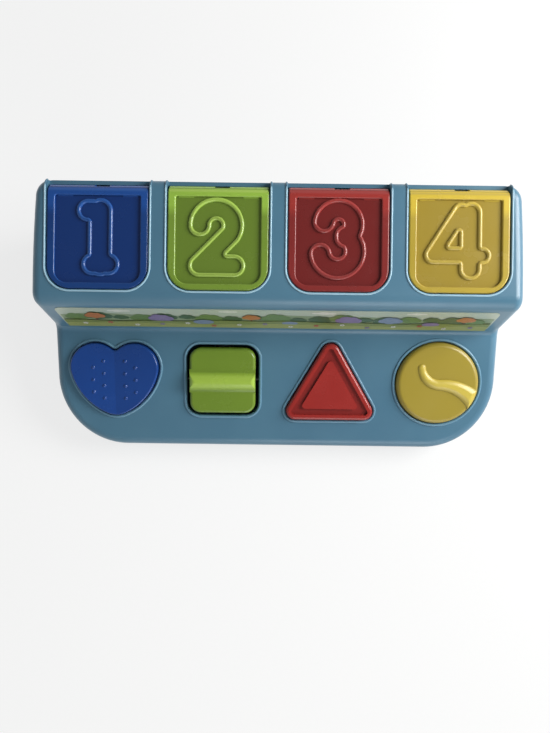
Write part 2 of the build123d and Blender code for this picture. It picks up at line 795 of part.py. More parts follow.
def heart_button(x):
    # Heart with a shallow valley down its middle and rows of small domes
    outline = heart_outline()
    crest = cap_top + heart_valley / 2
    body = Pos(0, 0, -flange_bottom) * extrude(outline, amount=flange_bottom + crest)
    half = heart_width / 2
    valley = make_face(Polyline((-half, crest), (0, crest - heart_valley), (half, crest), close=True))
    body -= extrude(Plane.XZ * valley, amount=heart_height, both=True)
    low = crest - heart_valley - on_line

    def on_rim(edge):
        return (edge @ 0).Z > low and (edge @ 1).Z > low and abs((edge @ 0.5).X) > on_line

    body = fillet(body.edges().filter_by(on_rim), cap_edge_radius / 2)
    for column, rows in dimple_columns:
        height = crest - heart_valley * (1 - column / half) - dimple_radius / 2
        for row in rows:
            body += Pos(column, row, height) * Sphere(dimple_radius)
            body += Pos(-column, row, height) * Sphere(dimple_radius)
    return lower_plane(x) * (body + flange(outline) - hollow(outline) + plunger())


def grip_bar():
    # Rounded bar whose sides run out into the flat in hollow curves
    bar_middle = bar_height - bar_radius
    reach = bar_radius + bar_foot_radius
    foot_y = sqrt(reach**2 - (bar_foot_radius - bar_middle) ** 2)
    side_y = foot_y * bar_radius / reach
    side_z = bar_middle + (bar_foot_radius - bar_middle) * bar_radius / reach
    crown = ThreePointArc((-side_y, side_z), (0, bar_height), (side_y, side_z))
    foot = TangentArc((side_y, side_z), (foot_y, 0), tangent=crown % 1)
    under = Polyline((foot_y, 0), (foot_y, -cap_roof / 2), (-foot_y, -cap_roof / 2), (-foot_y, 0))
    profile = make_face([crown, foot, mirror(foot, Plane.YZ), *under.edges()])
    return extrude(Plane.YZ * profile, amount=square_side / 2, both=True)


def square_rocker(x):
    # Square cap with a raised grip bar, tilting on a cross pin
    outline = square_outline()
    skirt = Pos(0, 0, -flange_bottom)
    body = skirt * extrude(outline, amount=flange_bottom + cap_top)
    body = fillet(body.edges().group_by(Axis.Z)[-1], cap_edge_radius)
    grip = skirt * extrude(outline, amount=flange_bottom + cap_top + bar_height)
    grip = fillet(grip.edges().group_by(Axis.Z)[-1], bar_height)
    body += grip & Pos(0, 0, cap_top) * grip_bar()
    body -= hollow(outline)
    roof = cap_top - cap_roof / 2
    cheek_height = roof + rocker_pin_depth
    for side in (-1, 1):
        cheek = Box(rocker_cheek, 2 * pivot_barrel_radius, cheek_height, align=hanging)
        body += Pos(side * rocker_cheek_offset, 0, roof) * cheek
        barrel = rod(pivot_barrel_radius, rocker_cheek)
        body += Pos(side * rocker_cheek_offset, 0, -rocker_pin_depth) * barrel
    lobe_middle = rocker_lobe_radius + contact_gap - arm_top_depth
    lobe_height = roof - lobe_middle
    lobe = Box(2 * arm_tip_radius, 2 * rocker_lobe_radius, lobe_height, align=standing)
    lobe += rod(rocker_lobe_radius, 2 * arm_tip_radius)
    body += Pos(0, -rocker_lobe_offset, lobe_middle) * lobe
    body -= Pos(0, 0, -rocker_pin_depth) * rod(pin_radius + running_clearance, square_side)
    return lower_plane(x) * body


def rocker_pin(x):
    return lower_plane(x) * Pos(0, 0, -rocker_pin_depth) * rod(pin_radius, rocker_pin_length())


def triangle_button(x):
    # Triangle with a raised rim, a moat and a flat middle
    outline = triangle_outline()
    body = Pos(0, 0, -flange_bottom) * extrude(outline, amount=flange_bottom + cap_top)
    body = fillet(body.edges().group_by(Axis.Z)[-1], cap_edge_radius)
    moat = triangle_outline(triangle_rim, plateau_corner_radius)
    moat -= triangle_outline(triangle_rim + triangle_moat, plateau_corner_radius)
    body -= Pos(0, 0, cap_top) * extrude(moat, amount=-moat_depth)
    return lower_plane(x) * (body + flange(outline) - hollow(outline) + plunger())


def dial_ridge():
    # Wave-shaped grip ridge on two opposite arcs: a round tip, then wider and wider to past the rim
    first = RadiusArc(ridge_start, ridge_middle, -ridge_bend_radius)
    second = TangentArc(ridge_middle, ridge_end, tangent=first % 1)
    tip = Plane(first @ 0, x_dir=(0, 0, 1), z_dir=first % 0) * Circle(ridge_start_radius)
    waist = Plane(first @ 1, x_dir=(0, 0, 1), z_dir=first % 1) * Circle(ridge_radius)
    tail = Plane(second @ 1, x_dir=(0, 0, 1), z_dir=second % 1) * Ellipse(ridge_radius, ridge_end_half_width)
    ridge = sweep([tip, waist, tail], path=Wire([first, second]), multisection=True)
    return ridge + Pos(*ridge_start) * Sphere(ridge_start_radius)


def dial_cam():
    # Sector under the dial whose face slopes evenly, so that turning the dial presses the follower down
    first = 90 - cam_overrun
    sweep_angle = dial_turn + 2 * cam_overrun
    arc_outer = CenterArc((0, 0), cam_outer_radius, first, sweep_angle)
    arc_inner = CenterArc((0, 0), cam_inner_radius, first, sweep_angle)
    ends = [Line(arc_inner @ 0, arc_outer @ 0), Line(arc_inner @ 1, arc_outer @ 1)]
    roof = cap_top - cap_roof / 2
    block = Pos(0, 0, roof) * extrude(make_face([arc_outer, arc_inner, *ends]), amount=-arm_top_depth)
    half_turn = radians(dial_turn / 2)
    rise = cam_drop / (2 * cam_radius * sin(half_turn))
    middle = radians(90) + half_turn
    along = Vector(-sin(middle), cos(middle))
    face_depth = flange_bottom + cam_stand + cam_drop / 2
    face = Plane((0, 0, -face_depth), z_dir=along * rise + Vector(0, 0, 1))
    return split(block, bisect_by=face, keep=Keep.TOP)


def round_dial(x):
    outline = dial_outline()
    body = Pos(0, 0, -flange_bottom) * extrude(outline, amount=flange_bottom + cap_top)
    body = fillet(body.edges().group_by(Axis.Z)[-1], dial_edge_radius)
    ridge_top = flange_bottom + cap_top + ridge_radius - ridge_sink
    tall = Pos(0, 0, -flange_bottom) * extrude(outline, amount=ridge_top)
    tall = fillet(tall.edges().group_by(Axis.Z)[-1], ridge_edge_radius)
    body += tall & Pos(0, 0, cap_top - ridge_sink) * dial_ridge()
    body += flange(outline)
    body -= hollow(outline)
    roof = flange_bottom + cap_top - cap_roof / 2
    body += Pos(0, 0, -flange_bottom) * Cylinder(spigot_post_radius, roof, align=standing)
    body += Pos(0, 0, -flange_bottom) * Cylinder(spigot_radius, spigot_length, align=hanging)
    return lower_plane(x) * (body + dial_cam())


def riser_strip():
    lean = atan2(riser_run, riser_rise)
    middle = ((riser_foot[0] + riser_top[0]) / 2, (riser_foot[1] + riser_top[1]) / 2)
    face = Plane((0, *middle), x_dir=(1, 0, 0), z_dir=(0, -cos(lean), sin(lean)))
    strip = extrude(RectangleRounded(strip_width, strip_height, strip_corner_radius), amount=strip_thickness)
    return face * Pos(0, -strip_drop, 0) * strip


def coil_edges(radius, pitch, first_angle, quarter_turns):
    # Quarter-turn arcs along a helix that runs clockwise round the local Z axis
    def at(quarter):
        angle = first_angle - quarter * pi / 2
        return (radius * cos(angle), radius * sin(angle), pitch * quarter / 4)

    return [ThreePointArc(at(i), at(i + 0.5), at(i + 1)) for i in range(quarter_turns)]


def least_gap(path, turn_length, wire_radius):
    # Smallest distance between the wire's own turns, over points more than half a turn apart along it
    count = ceil(path.length)
    points = [path @ (i / count) for i in range(count + 1)]
    apart = ceil(turn_length / 2 * count / path.length)
    middles = min((b - a).length for i, a in enumerate(points) for b in points[i + apart :])
    return middles - 2 * wire_radius


def latch_spring(x):
    rise = latch_spring_height - 2 * latch_wire_radius - 2 * seat_gap
    path = Wire(coil_edges(latch_coil_radius, rise / latch_spring_turns, 0, 4 * latch_spring_turns))
    print("latch spring gap", round(least_gap(path, 2 * pi * latch_coil_radius, latch_wire_radius), 2))
    foot = spring_place(x) + Vector(0, 0, latch_wire_radius + seat_gap)
    return Pos(*foot) * bead(path, latch_wire_radius)


def lid_spring(x):
    # Torsion spring on the hinge pin: one leg under the lid, the other down behind the well
    edges = coil_edges(lid_coil_radius, lid_coil_pitch, pi / 2, 4 * lid_coil_turns + 1)
    first = edges[0]
    last = edges[-1]
    edges.insert(0, Line(first @ 0 - (first % 0) * lid_spring_lid_leg, first @ 0))
    edges.append(Line(last @ 1, last @ 1 + (last % 1) * lid_spring_wall_leg))
    path = Wire(edges)
    print("lid spring gap", round(least_gap(path, 2 * pi * lid_coil_radius, lid_wire_radius), 2))
    axis = Plane((x, hinge_y, hinge_z), x_dir=upper_plane(x).y_dir, z_dir=(1, 0, 0))
    return axis * bead(path, lid_wire_radius)


def ball(middle, radius):
    return Pos(*middle) * Sphere(radius)


def pair(middle, radius):
    across, up, out = middle
    return ball((across, up, out), radius) + ball((-across, up, out), radius)


def zebra():
    (_, head_up, head_out), _ = head
    mane = Pos(0, head_up, head_out - zebra_mane_width) * rod(zebra_mane_radius, zebra_mane_width)
    face = ball(*head) + ball(*zebra_muzzle) + ball(*zebra_nose)
    ears = pair(*zebra_ear) + pair(*zebra_ear_tip)
    return ball(*torso) + face + ears + mane


def lion():
    (_, head_up, _), _ = head
    mane = fillet(Cylinder(lion_mane_radius, lion_mane_depth).edges(), lion_mane_edge)
    mane = Pos(0, head_up - lion_mane_sink, lion_mane_depth / 2) * mane
    return ball(*torso) + ball(*head) + mane + pair(*lion_cheek) + ball(*lion_nose) + pair(*lion_ear)


def elephant():
    across, up, out = elephant_ear_place
    ear = fillet(Cylinder(elephant_ear_radius, elephant_ear_thickness).edges(), elephant_ear_edge)
    ears = Pos(across, up, out) * ear + Pos(-across, up, out) * ear
    bend = TangentArc(trunk_root, trunk_bend, tangent=(0, 0, 1))
    trunk = bead(Wire([bend, Line(trunk_bend, trunk_tip)]), trunk_radius) + ball(trunk_tip, trunk_radius)
    return ball(*torso) + ball(*head) + ears + trunk


def hippo():
    (across, up, out), radius = hippo_muzzle
    muzzle = Pos(0, up, out) * rod(radius, 2 * across) + pair(*hippo_muzzle)
    return ball(*torso) + ball(*head) + muzzle + pair(*hippo_nostril) + pair(*hippo_ear)


def figure(x, animal):
    # Stands on the underside of its lid, the head towards the front edge of the lid
    plane = upper_plane(x)
    foot = plane.from_local_coords(Vector(0, hinge_v - figure_rise * figure_scale, -lid_thickness))
    seat = Plane(foot, x_dir=(1, 0, 0), z_dir=-plane.z_dir)
    return split(seat * scale(animal(), by=figure_scale), bisect_by=seat, keep=Keep.TOP)


def save(name, shape):
    export_step(shape, f"parts/{name}.step")


os.makedirs("parts", exist_ok=True)
save("top_housing", top_housing())
save("base_plate", base_plate())
save("base_screws", base_screws())
save("feet", feet())
save("inner_tray", inner_tray())
save("riser_strip", riser_strip())
save("heart_button", heart_button(stations[0]))
save("square_rocker", square_rocker(stations[1]))
save("rocker_pin", rocker_pin(stations[1]))
save("triangle_button", triangle_button(stations[2]))
save("round_dial", round_dial(stations[3]))
save("latch_1", latch(stations[0], 0))
save("latch_2", latch(stations[1], -rocker_lobe_offset))
save("latch_3", latch(stations[2], 0))
save("latch_4", dial_latch(stations[3]))
for number, (x, animal) in enumerate(zip(stations, (zebra, lion, elephant, hippo)), start=1):
    save(f"lid_{number}", lid(x, number))
    save(f"{animal.__name__}_figure", figure(x, animal))
    save(f"hinge_pin_{number}", hinge_pin(x))
    save(f"lid_spring_{number}", lid_spring(x))
    save(f"latch_pin_{number}", latch_pin(x))
    save(f"latch_spring_{number}", latch_spring(x))
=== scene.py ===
import json
import math

import bmesh
import bpy
from mathutils import Matrix, Vector


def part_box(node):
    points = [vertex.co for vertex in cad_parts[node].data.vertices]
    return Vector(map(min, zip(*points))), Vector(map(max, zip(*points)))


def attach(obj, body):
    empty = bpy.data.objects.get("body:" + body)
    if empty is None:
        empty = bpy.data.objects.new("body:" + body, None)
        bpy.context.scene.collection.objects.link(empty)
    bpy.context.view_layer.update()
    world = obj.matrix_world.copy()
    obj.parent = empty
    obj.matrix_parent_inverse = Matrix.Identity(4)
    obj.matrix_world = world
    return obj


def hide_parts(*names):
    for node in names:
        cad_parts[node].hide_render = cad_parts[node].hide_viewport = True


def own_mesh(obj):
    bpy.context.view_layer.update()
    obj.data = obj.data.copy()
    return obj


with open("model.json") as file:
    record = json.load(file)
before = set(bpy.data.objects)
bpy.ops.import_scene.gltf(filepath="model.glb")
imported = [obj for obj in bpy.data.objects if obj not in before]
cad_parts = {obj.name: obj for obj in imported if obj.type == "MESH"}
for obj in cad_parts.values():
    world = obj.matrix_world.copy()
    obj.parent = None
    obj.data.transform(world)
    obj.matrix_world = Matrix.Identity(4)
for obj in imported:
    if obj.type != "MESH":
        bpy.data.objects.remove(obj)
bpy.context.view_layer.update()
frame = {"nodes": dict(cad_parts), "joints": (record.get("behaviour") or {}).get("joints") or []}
nodes = frame["nodes"]
joints = {joint["name"]: joint for joint in frame["joints"]}
mm = 0.001
mmPerMetre = 1000
stations = (1, 2, 3, 4)   # a lid and its control, counted from the left
hinges = {n: Vector(joints["lid_%d_hinge" % n]["pos_m"]) for n in stations}
print("frame loaded,", len(nodes), "pieces")


# sRGB hex to linear
def linearColour(hexColour):
    values = [int(hexColour[i:i + 2], 16) / 255 for i in (1, 3, 5)]
    values = [v / 12.92 if v <= 0.04045 else ((v + 0.055) / 1.055) ** 2.4 for v in values]
    return (*values, 1.0)


# settings: socket name or number to a value, or to another node's output to link
def addNode(tree, kind, settings=None, **properties):
    node = tree.nodes.new(kind)
    for name, value in properties.items():
        setattr(node, name, value)
    for socket, value in (settings or {}).items():
        if isinstance(value, bpy.types.NodeSocket):
            tree.links.new(value, node.inputs[socket])
        else:
            node.inputs[socket].default_value = value
    return node


def newMaterial(name):
    material = bpy.data.materials.new(name)
    material.use_nodes = True
    tree = material.node_tree
    tree.nodes.clear()
    return material, tree


def addObject(name, data):
    thing = bpy.data.objects.new(name, data)
    bpy.context.scene.collection.objects.link(thing)
    return thing


def addPiece(name, mesh, materials):
    data = bpy.data.meshes.new(name)
    mesh.to_mesh(data)
    mesh.free()
    for material in materials:
        data.materials.append(material)
    return addObject(name, data)


# Faces between two rings of corners, or from a ring to a single crown corner
def joinRings(mesh, low, top):
    faces = []
    for k in range(len(low)):
        after = (k + 1) % len(low)
        upper = [top[after], top[k]] if len(top) > 1 else top
        faces.append(mesh.faces.new([low[k], low[after]] + upper))
    return faces


def dress(names, material):
    for name in names:
        piece = nodes[name]
        piece.data.materials.clear()
        piece.data.materials.append(material)


# Injection-moulded plastic: colour that drifts a little with the flow of the melt, the grain of a
# spark-eroded mould, drawn coarser than real so that it shows, and gloss that changes where hands rub
moulding = {"flowDetail": 3.0, "flowRange": (0.35, 0.65), "grainDetail": 4.0, "grainRoughness": 0.6,
            "rubDetail": 5.0, "rubRange": (0.3, 0.7)}


def mouldedPlastic(name, look, paint=None):
    material, tree = newMaterial(name)
    place = addNode(tree, "ShaderNodeTexCoord").outputs["Object"]
    flow = addNode(tree, "ShaderNodeTexNoise", {
        "Vector": place, "Scale": mmPerMetre / look["flowMm"], "Detail": moulding["flowDetail"]})
    amount = addNode(tree, "ShaderNodeMapRange", {
        "Value": flow.outputs[0], "To Max": look["flowAmount"],
        "From Min": moulding["flowRange"][0], "From Max": moulding["flowRange"][1]})
    colour = addNode(tree, "ShaderNodeMix", {
        0: amount.outputs[0], 6: linearColour(look["colour"]), 7: linearColour(look["shade"])},
        data_type="RGBA").outputs[2]
    if paint:
        colour = paint(tree, place, colour)
    grain = addNode(tree, "ShaderNodeTexNoise", {
        "Vector": place, "Scale": mmPerMetre / look["grainMm"],
        "Detail": moulding["grainDetail"], "Roughness": moulding["grainRoughness"]})
    bump = addNode(tree, "ShaderNodeBump", {
        "Height": grain.outputs[0], "Strength": look["grainStrength"], "Distance": look["grainDepthMm"] * mm})
    rub = addNode(tree, "ShaderNodeTexNoise", {
        "Vector": place, "Scale": mmPerMetre / look["rubMm"], "Detail": moulding["rubDetail"]})
    rough = addNode(tree, "ShaderNodeMapRange", {
        "Value": rub.outputs[0], "From Min": moulding["rubRange"][0], "From Max": moulding["rubRange"][1],
        "To Min": look["roughness"] - look["rubSpread"], "To Max": look["roughness"] + look["rubSpread"]})
    shader = addNode(tree, "ShaderNodeBsdfPrincipled", {
        "Base Color": colour, "Roughness": rough.outputs[0], "Normal": bump.outputs[0], "IOR": look["ior"]})
    addNode(tree, "ShaderNodeOutputMaterial", {"Surface": shader.outputs[0]})
    return material


# The two decks: a point on each, in mm, and its slope, as in the part's source
upperDeck = {"point": (0, 5, 84.506), "slope": math.radians(6)}
lowerDeck = {"point": (0, -78, 22), "slope": math.radians(16)}


# Tints what lies between two heights over a deck or other plane, in mm, with soft ends; the tint is a hex
# colour or a socket
def layer(tree, place, colour, deck, heights, tint, share=1.0, soft=0.12):
    low, high = heights
    normal = (0, -math.sin(deck["slope"]) / mm, math.cos(deck["slope"]) / mm)
    away = addNode(tree, "ShaderNodeVectorMath", {
        0: place, 1: Vector(deck["point"]) * mm}, operation="SUBTRACT")
    height = addNode(tree, "ShaderNodeVectorMath", {
        0: away.outputs[0], 1: normal}, operation="DOT_PRODUCT").outputs["Value"]
    over = addNode(tree, "ShaderNodeMapRange", {
        "Value": height, "From Min": low - soft, "From Max": low + soft})
    under = addNode(tree, "ShaderNodeMapRange", {
        "Value": height, "From Min": high - soft, "From Max": high + soft, "To Min": share, "To Max": 0.0})
    mask = addNode(tree, "ShaderNodeMath", {
        0: over.outputs[0], 1: under.outputs[0]}, operation="MULTIPLY")
    tint = linearColour(tint) if isinstance(tint, str) else tint
    return addNode(tree, "ShaderNodeMix", {
        0: mask.outputs[0], 6: colour, 7: tint}, data_type="RGBA").outputs[2]


# Body: satin ABS, dusty blue, so edges catch soft light and flats stay even; the thin rims are tinted paler
# as a painted highlight
housing = {"colour": "#527c92", "shade": "#4a738a", "flowMm": 55, "flowAmount": 0.8, "grainMm": 0.7,
           "grainStrength": 0.10, "grainDepthMm": 0.05, "roughness": 0.34, "rubMm": 18, "rubSpread": 0.05,
           "ior": 1.54}
lidRimHighlight = {"heightsMm": (0.25, 0.9), "colour": "#a6cbdb", "share": 0.85}
controlRimHighlight = {"heightsMm": (0.35, 1.0), "colour": "#6a94aa", "share": 0.8}
riserFoot = {"point": (0, -4.6, 0), "slope": math.radians(-90), "behindMm": (0, 160)}   # an upright plane


# Painted highlight: the thin rims round the controls, on the front deck only, and round the lids are tinted
# paler
def paintedRimHighlights(tree, place, colour):
    controlRimsHighlit = layer(tree, place, colour, lowerDeck, controlRimHighlight["heightsMm"], controlRimHighlight["colour"],
                   controlRimHighlight["share"])
    colour = layer(tree, place, controlRimsHighlit, riserFoot, riserFoot["behindMm"], colour)   # front deck only
    return layer(tree, place, colour, upperDeck, lidRimHighlight["heightsMm"], lidRimHighlight["colour"], lidRimHighlight["share"])


housingPlastic = mouldedPlastic("absSatinMouldedBlue", housing, paintedRimHighlights)
dress(["top_housing"], housingPlastic)

# Collar round the dial: a half-sunk bead of the body's own plastic, like those round the other controls
dialCollar = {"ringMm": 28.7, "beadMm": 0.9, "turns": 120, "sides": 16, "sunkDegrees": 20}
deckUp = Vector((0, -math.sin(lowerDeck["slope"]), math.cos(lowerDeck["slope"])))
deckBack = Vector((0, math.cos(lowerDeck["slope"]), math.sin(lowerDeck["slope"])))
dialMiddle = Vector(joints["dial_turn"]["pos_m"])
dialMiddle -= deckUp * (dialMiddle - Vector(lowerDeck["point"]) * mm).dot(deckUp)   # brought onto the deck
sweep = 180 + 2 * dialCollar["sunkDegrees"]
mesh = bmesh.new()
rings = []
for i in range(dialCollar["turns"]):
    turn = i * 2 * math.pi / dialCollar["turns"]
    outward = Vector((math.cos(turn), 0, 0)) + deckBack * math.sin(turn)
    ring = []
    for k in range(dialCollar["sides"]):
        lean = math.radians(-dialCollar["sunkDegrees"] + sweep * k / (dialCollar["sides"] - 1))
        reach = dialCollar["ringMm"] + dialCollar["beadMm"] * math.cos(lean)
        high = dialCollar["beadMm"] * math.sin(lean)
        ring.append(mesh.verts.new(dialMiddle + outward * (reach * mm) + deckUp * (high * mm)))
    rings.append(ring)
for low, top in zip(rings, rings[1:] + rings[:1]):
    for face in joinRings(mesh, low, top)[:-1]:   # the last one is the flat underside, in the deck
        face.smooth = True
bmesh.ops.recalc_face_normals(mesh, faces=mesh.faces)
collar = addPiece("dial_collar", mesh, [housingPlastic])
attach(collar, "body")
print("dial collar set")

# Base plate: the body's ABS from a coarser mould, so it stays dull
basePlate = dict(housing, colour="#4d778c", shade="#456d82", grainMm=0.9, grainStrength=0.3, roughness=0.5)
dress(["base_plate"], mouldedPlastic("absMatteMouldedBlue", basePlate))

# Wells: matte polypropylene, off-white, so the figures stand out when a lid is up
wells = {"colour": "#d9d8d0", "shade": "#cbcac2", "flowMm": 40, "flowAmount": 0.8, "grainMm": 0.8,
         "grainStrength": 0.2, "grainDepthMm": 0.05, "roughness": 0.5, "rubMm": 15, "rubSpread": 0.06,
         "ior": 1.49}
dress(["inner_tray"], mouldedPlastic("polypropyleneMatteMoulded", wells))

# Latches: acetal, waxy, dark grey as painted shade, so little of them shows through the gaps round the
# controls
latches = dict(wells, colour="#34383d", shade="#2e3236", roughness=0.36, grainStrength=0.08, ior=1.48)
dress(["latch_%d" % n for n in stations], mouldedPlastic("acetalMoulded", latches))
print("body and inner parts dressed")

# Lids and controls: glossy ABS in four colours, so their highlights are small and clear
glossAbs = {"flowMm": 45, "flowAmount": 0.9, "grainMm": 0.8, "grainStrength": 0.06, "grainDepthMm": 0.04,
            "roughness": 0.25, "rubMm": 14, "rubSpread": 0.05, "ior": 1.54}
glossNames = {1: "absGlossMouldedBlue", 2: "absGlossMouldedGreen",
              3: "absGlossMouldedRed", 4: "absGlossMouldedYellow"}
controls = {1: "heart_button", 2: "square_rocker", 3: "triangle_button", 4: "round_dial"}
# Per control: painted shade darkens the flats and the triangle's moat; painted highlights pale the grips of
# the square and the dial
controlTints = {
    1: dict(glossAbs, colour="#1b4690", shade="#173f85"),
    2: dict(glossAbs, colour="#85a533", shade="#7b9c2d", floor="#69822e", crest="#a8c64e"),
    3: dict(glossAbs, colour="#a4302a", shade="#992a25", floor="#722321"),
    4: dict(glossAbs, colour="#c0aa3b", shade="#b7a135", floor="#958332", crest="#d8c45c", roughness=0.34),
}
# Per lid: painted shade tints the sunk panel's floor; painted highlights tint the numeral and the rolled back
# edge
lidTints = {
    1: dict(glossAbs, colour="#19417f", shade="#163a76", floor="#133572", crest="#2f5fa6", roll="#1f4e98"),
    2: dict(glossAbs, colour="#7b9838", shade="#728f32", floor="#69822e", crest="#b0cc60", roll="#98be48"),
    3: dict(glossAbs, colour="#872e2b", shade="#7d2926", floor="#722321", crest="#a14340", roll="#a0352f"),
    4: dict(glossAbs, colour="#b8a03e", shade="#ae9738", floor="#a08933", crest="#bea752", roll="#d4b841"),
}

# A lid's sunk panel is darker, as painted shade, and its rolled back edge and numeral are paler, as painted
# highlights
lidPanelShade = {"heightsMm": (-1.75, -1.35)}
lidNumeralHighlight = {"heightsMm": (-0.85, -0.25), "share": 0.7}
lidRollHighlight = {"point": (0, 0, 0), "slope": math.radians(-90), "behindMm": (59, 80), "softMm": 3.0}


# Lays painted shade on the sunk panel and painted highlights on the rolled back edge and the numeral
def lidPaintedLight(look):
    def paint(tree, place, colour):
        colour = layer(tree, place, colour, lidRollHighlight, lidRollHighlight["behindMm"], look["roll"],
                       soft=lidRollHighlight["softMm"])
        colour = layer(tree, place, colour, upperDeck, lidPanelShade["heightsMm"], look["floor"])
        return layer(tree, place, colour, upperDeck, lidNumeralHighlight["heightsMm"], look["crest"],
                     lidNumeralHighlight["share"])
    return paint


# Controls: grips paler as painted highlights, flats and the triangle's moat darker as painted shade; heights
# over the front deck
controlLightBands = {
    1: (),
    2: ({"heightsMm": (2.0, 4.2), "tone": "floor", "share": 0.65, "softMm": 0.3},
        {"heightsMm": (4.9, 9.0), "tone": "crest", "share": 0.85, "softMm": 1.0}),
    3: ({"heightsMm": (1.7, 2.4), "tone": "floor", "share": 0.5, "softMm": 0.3},),
    4: ({"heightsMm": (-3.0, 4.1), "tone": "floor", "share": 0.7, "softMm": 0.3},
        {"heightsMm": (4.6, 8.0), "tone": "crest", "share": 0.5, "softMm": 0.9}),
}


# Lays a control's painted shade and highlight bands over its colour
def controlPaintedLight(look, layers):
    def paint(tree, place, colour):
        for band in layers:
            colour = layer(tree, place, colour, lowerDeck, band["heightsMm"], look[band["tone"]],
                           band["share"], band["softMm"])
        return colour
    return paint


for n in stations:
    paint = controlPaintedLight(controlTints[n], controlLightBands[n])
    dress([controls[n]], mouldedPlastic(glossNames[n], controlTints[n], paint))
    dress(["lid_%d" % n], mouldedPlastic(glossNames[n] + "Panelled", lidTints[n], lidPaintedLight(lidTints[n])))
print("lids and controls dressed")

# Pins and springs: drawn steel wire, bright, with lengthwise draw lines that are finer on real wire
wire = {"colour": "#b9bcbf", "shade": "#9da1a6", "drawMm": 0.5, "drawStretch": (0.05, 1.0, 1.0),
        "drawDetail": 3.0, "roughness": 0.28, "roughSpread": 0.08}
steel, tree = newMaterial("steelDrawn")
place = addNode(tree, "ShaderNodeTexCoord").outputs["Object"]
stretched = addNode(tree, "ShaderNodeMapping", {"Vector": place, "Scale": wire["drawStretch"]})
lines = addNode(tree, "ShaderNodeTexNoise", {
    "Vector": stretched.outputs[0], "Scale": mmPerMetre / wire["drawMm"], "Detail": wire["drawDetail"]})
colour = addNode(tree, "ShaderNodeMix", {
    0: lines.outputs[0], 6: linearColour(wire["colour"]), 7: linearColour(wire["shade"])}, data_type="RGBA")
rough = addNode(tree, "ShaderNodeMapRange", {
    "Value": lines.outputs[0],
    "To Min": wire["roughness"] - wire["roughSpread"], "To Max": wire["roughness"] + wire["roughSpread"]})
shader = addNode(tree, "ShaderNodeBsdfPrincipled", {
    "Base Color": colour.outputs[2], "Metallic": 1.0, "Roughness": rough.outputs[0]})
addNode(tree, "ShaderNodeOutputMaterial", {"Surface": shader.outputs[0]})
steelPieces = ["base_screws"]
for n in stations:
    steelPieces += ["hinge_pin_%d" % n, "lid_spring_%d" % n, "latch_pin_%d" % n, "latch_spring_%d" % n]
dress(steelPieces, steel)

# Latch springs: the same wire, each copied into a coil of its own on the body in place of the part's spring
for n in stations:
    name = "latch_spring_%d" % n
    low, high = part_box(name)
    coil = addObject("latch_coil_%d" % n, nodes[name].data.copy())
    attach(coil, "body")
    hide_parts(name)
    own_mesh(coil)

# Cross pin of the square control: steel, dull and near-black as painted shade, so no glint shows in the gap
pinDarkAsShade = {"colour": "#2b2c2e", "shade": "#232426", "flowMm": 3, "flowAmount": 1.0, "grainMm": 0.6,
             "grainStrength": 0.1, "grainDepthMm": 0.03, "roughness": 0.45, "rubMm": 4, "rubSpread": 0.08,
             "ior": 1.6}
dress(["rocker_pin"], mouldedPlastic("steelDarkAsShade", pinDarkAsShade))

# Feet: moulded rubber, dull and slightly dusty
feet = {"colour": "#2c2d30", "shade": "#3b3c3f", "flowMm": 6, "flowAmount": 1.0, "grainMm": 0.5,
        "grainStrength": 0.35, "grainDepthMm": 0.06, "roughness": 0.75, "rubMm": 5, "rubSpread": 0.08,
        "ior": 1.52}
dress(["feet"], mouldedPlastic("rubberMoulded", feet))
print("steel and rubber dressed")

# Printed strip: laminated paper film on the riser, which leans back a little over its rise
strip = {"widthMm": 268, "marginMm": 1.0, "thicknessMm": 0.3, "riserBackMm": 8, "riserRiseMm": 41,
         "stepMm": 0.004, "roundSides": 20, "bandSteps": 60}
inks = {"sky": ("#a9b8aa", "#b5bea9"), "cloud": ("#d6d9cd", "#ccd1c5"), "farHill": ("#7f9270", "#8a9a76"),
        "bush": ("#43593c", "#4d6542"), "lightBush": ("#5f7a45", "#6b844a"), "grass": ("#727f42", "#7f8a48"),
        "lightGrass": ("#8d9550", "#979d58"), "autumn": ("#a8693a", "#b47844"),
        "heather": ("#77698f", "#857799"), "stone": ("#6f7f98", "#7c8ba2"), "petal": ("#d5d5cc", "#c9cac2"),
        "bark": ("#57432f", "#634d37"), "poppy": ("#a5403a", "#b04c42")}

# Ink on laminated film: a flat tint broken by the dots of the press, under a smooth gloss
film = {"dotMm": 0.8, "washMm": 9.0, "washDetail": 3.0, "toneRange": (0.05, 0.4),
        "roughness": 0.3, "ior": 1.5}   # real dots are 0.15 mm, too fine to show


def printedInk(name, colours):
    material, tree = newMaterial("printedFilm" + name[0].upper() + name[1:])
    place = addNode(tree, "ShaderNodeTexCoord").outputs["Object"]
    dots = addNode(tree, "ShaderNodeTexVoronoi", {"Vector": place, "Scale": mmPerMetre / film["dotMm"]})
    wash = addNode(tree, "ShaderNodeTexNoise", {
        "Vector": place, "Scale": mmPerMetre / film["washMm"], "Detail": film["washDetail"]})
    blend = addNode(tree, "ShaderNodeMath", {
        0: dots.outputs["Distance"], 1: wash.outputs[0]}, operation="MULTIPLY")
    tone = addNode(tree, "ShaderNodeMapRange", {
        "Value": blend.outputs[0], "From Min": film["toneRange"][0], "From Max": film["toneRange"][1]})
    colour = addNode(tree, "ShaderNodeMix", {
        0: tone.outputs[0], 6: linearColour(colours[0]), 7: linearColour(colours[1])}, data_type="RGBA")
    shader = addNode(tree, "ShaderNodeBsdfPrincipled", {
        "Base Color": colour.outputs[2], "Roughness": film["roughness"], "IOR": film["ior"]})
    addNode(tree, "ShaderNodeOutputMaterial", {"Surface": shader.outputs[0]})
    return material


inkMaterials = {name: printedInk(name, colours) for name, colours in inks.items()}
inkOrder = list(inks)
dress(["riser_strip"], inkMaterials["sky"])

